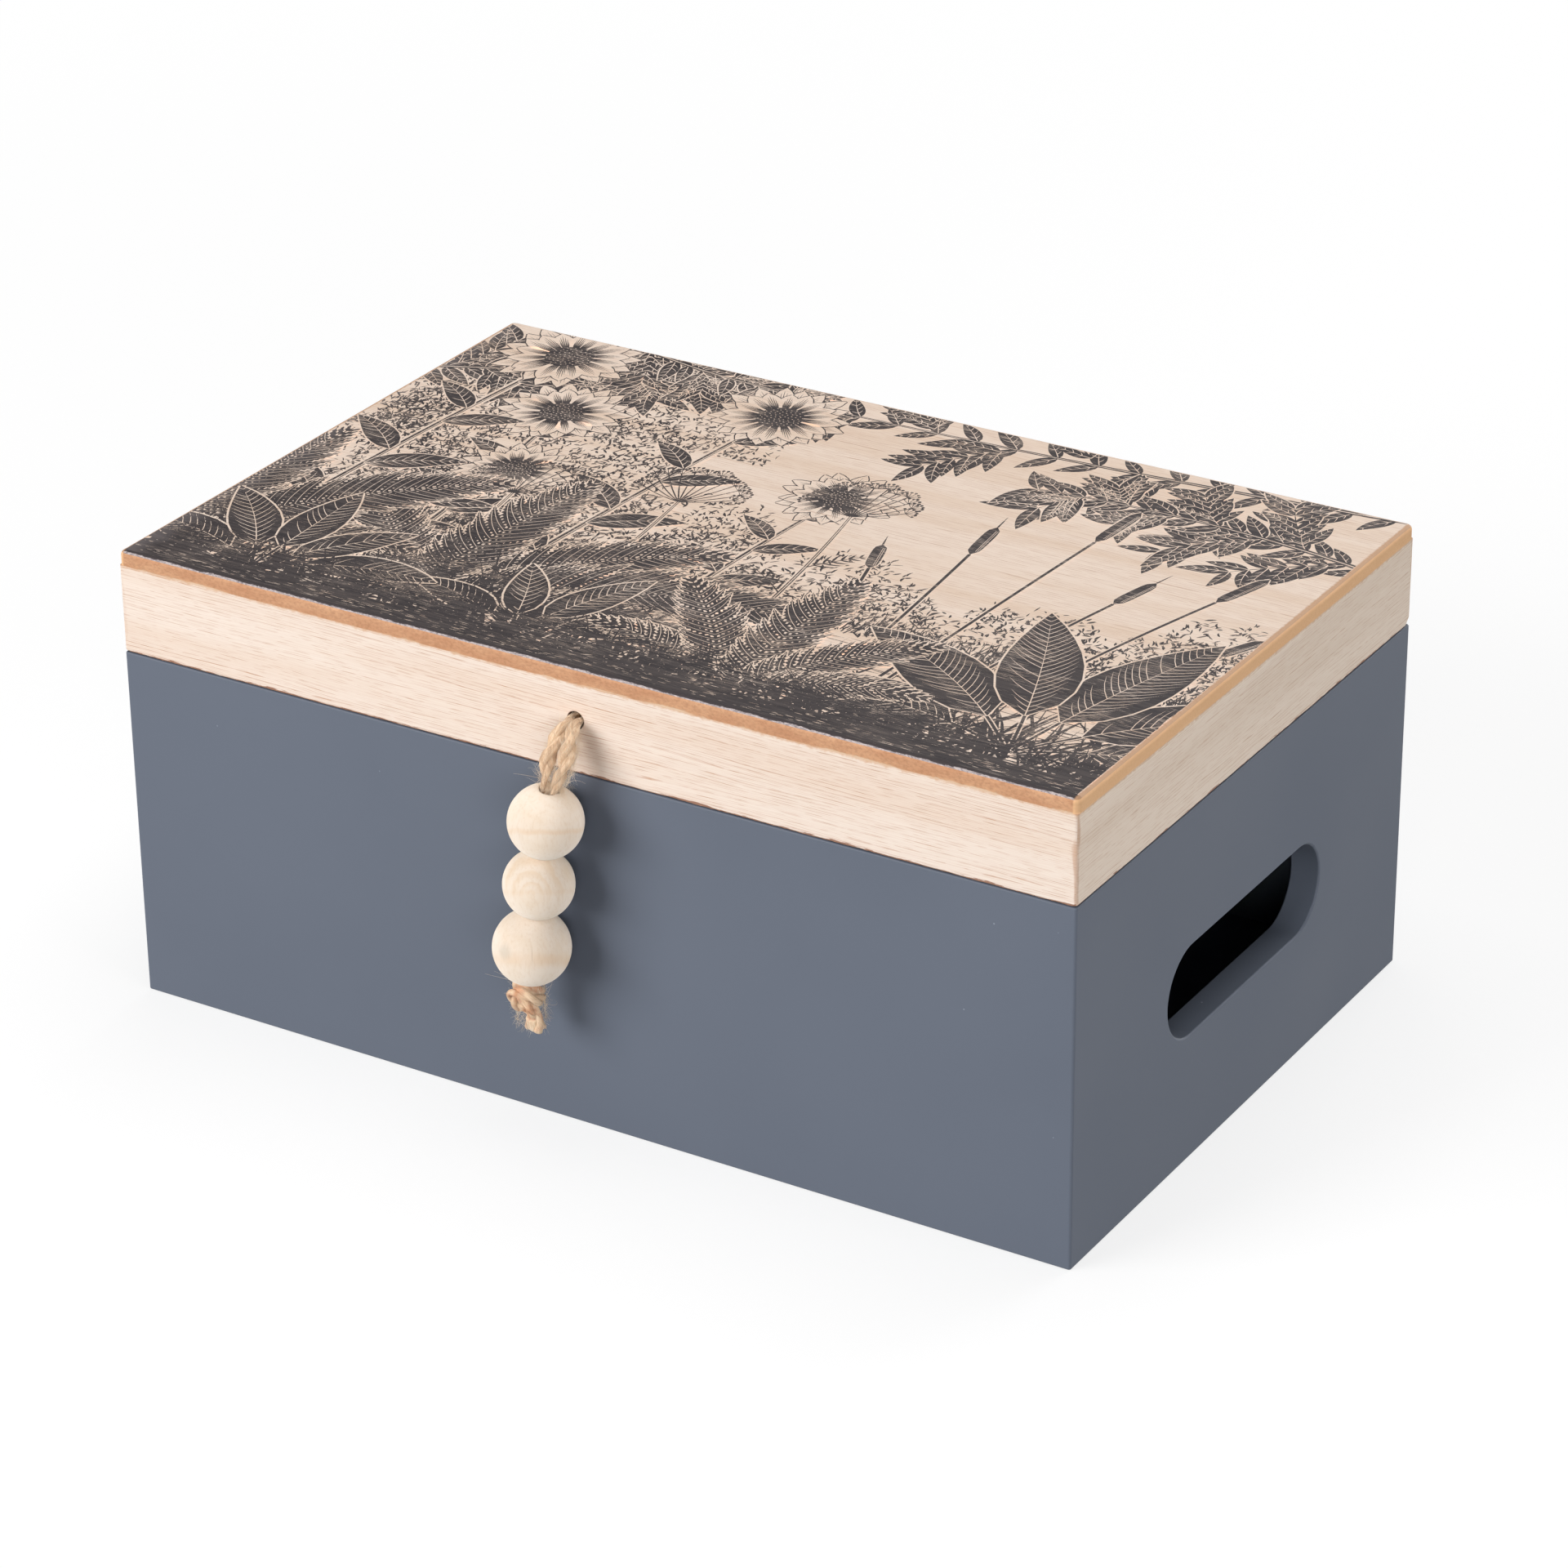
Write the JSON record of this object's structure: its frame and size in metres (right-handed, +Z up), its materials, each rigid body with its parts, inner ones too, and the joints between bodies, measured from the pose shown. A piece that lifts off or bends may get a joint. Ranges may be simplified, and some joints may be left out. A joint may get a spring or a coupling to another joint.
{
  "type": "keepsake box",
  "caption": "Rectangular lidded box with painted case, pale wood lid frame, printed lid top, handle slots and a beaded cord pull.",
  "frame": {"origin": "under the middle of the case, on the surface that the box stands on", "axes": "+X along the front to the right, +Y from the front to the back, +Z up"},
  "size_m": [0.3, 0.2168, 0.1377],
  "materials": {
    "painted_mdf": "matte slate paint on MDF",
    "raw_mdf": "raw MDF",
    "pale_wood": "raw sanded pale wood",
    "printed_veneer": "raw veneer with a charcoal print",
    "bead_wood": "raw turned wood",
    "jute": "two-ply jute twine",
    "hinge_metal": "thinly plated, satin",
    "screw_steel": "brass-plated, satin"
  },
  "bodies": {
    "case": {"front_panel": "painted_mdf", "back_panel": "painted_mdf", "left_panel": "painted_mdf", "right_panel": "painted_mdf", "bottom_panel": "painted_mdf", "left_hinge_case_leaf": "hinge_metal", "right_hinge_case_leaf": "hinge_metal", "left_hinge_pin": "hinge_metal", "right_hinge_pin": "hinge_metal", "case_hinge_screws": "screw_steel"},
    "lid": {"lid_front_rail": "pale_wood", "lid_back_rail": "pale_wood", "lid_left_rail": "pale_wood", "lid_right_rail": "pale_wood", "lid_board": "raw_mdf", "lid_veneer": "printed_veneer", "left_hinge_lid_leaf": "hinge_metal", "right_hinge_lid_leaf": "hinge_metal", "lid_hinge_screws": "screw_steel"},
    "cord_swivel": {"inner_knot": "jute", "pull_cord_in_rail": "jute"},
    "pull": {"pull_cord_drop": "jute", "pull_cord_in_beads": "jute", "end_knot": "jute"},
    "top_bead": {"top_bead": "bead_wood"},
    "middle_bead": {"middle_bead": "bead_wood"},
    "bottom_bead": {"bottom_bead": "bead_wood"}
  },
  "joints": [
    {"name": "lid_hinge", "type": "hinge", "parent": "case", "child": "lid", "pos_m": [0, 0.096, 0.1072], "axis": [-1, 0, 0], "range_deg": [0, 105]},
    {"name": "pull_sway", "type": "hinge", "parent": "lid", "child": "cord_swivel", "pos_m": [0, -0.0975, 0.1228], "axis": [0, 1, 0], "range_deg": [-90, 75]},
    {"name": "pull_lift", "type": "hinge", "parent": "cord_swivel", "child": "pull", "pos_m": [0, -0.0981, 0.1228], "axis": [-0.9893, 0, 0.1461], "range_deg": [0, 130], "deforming": ["pull_cord_drop"]},
    {"name": "top_bead_spin", "type": "hinge", "parent": "pull", "child": "top_bead", "pos_m": [-0.003, -0.10855, 0.097], "axis": [0.1461, 0, 0.9893], "continuous": true},
    {"name": "middle_bead_spin", "type": "hinge", "parent": "pull", "child": "middle_bead", "pos_m": [-0.00587, -0.10855, 0.07758], "axis": [0.1461, 0, 0.9893], "continuous": true},
    {"name": "bottom_bead_spin", "type": "hinge", "parent": "pull", "child": "bottom_bead", "pos_m": [-0.0088, -0.10855, 0.05774], "axis": [0.1461, 0, 0.9893], "continuous": true}
  ]
}
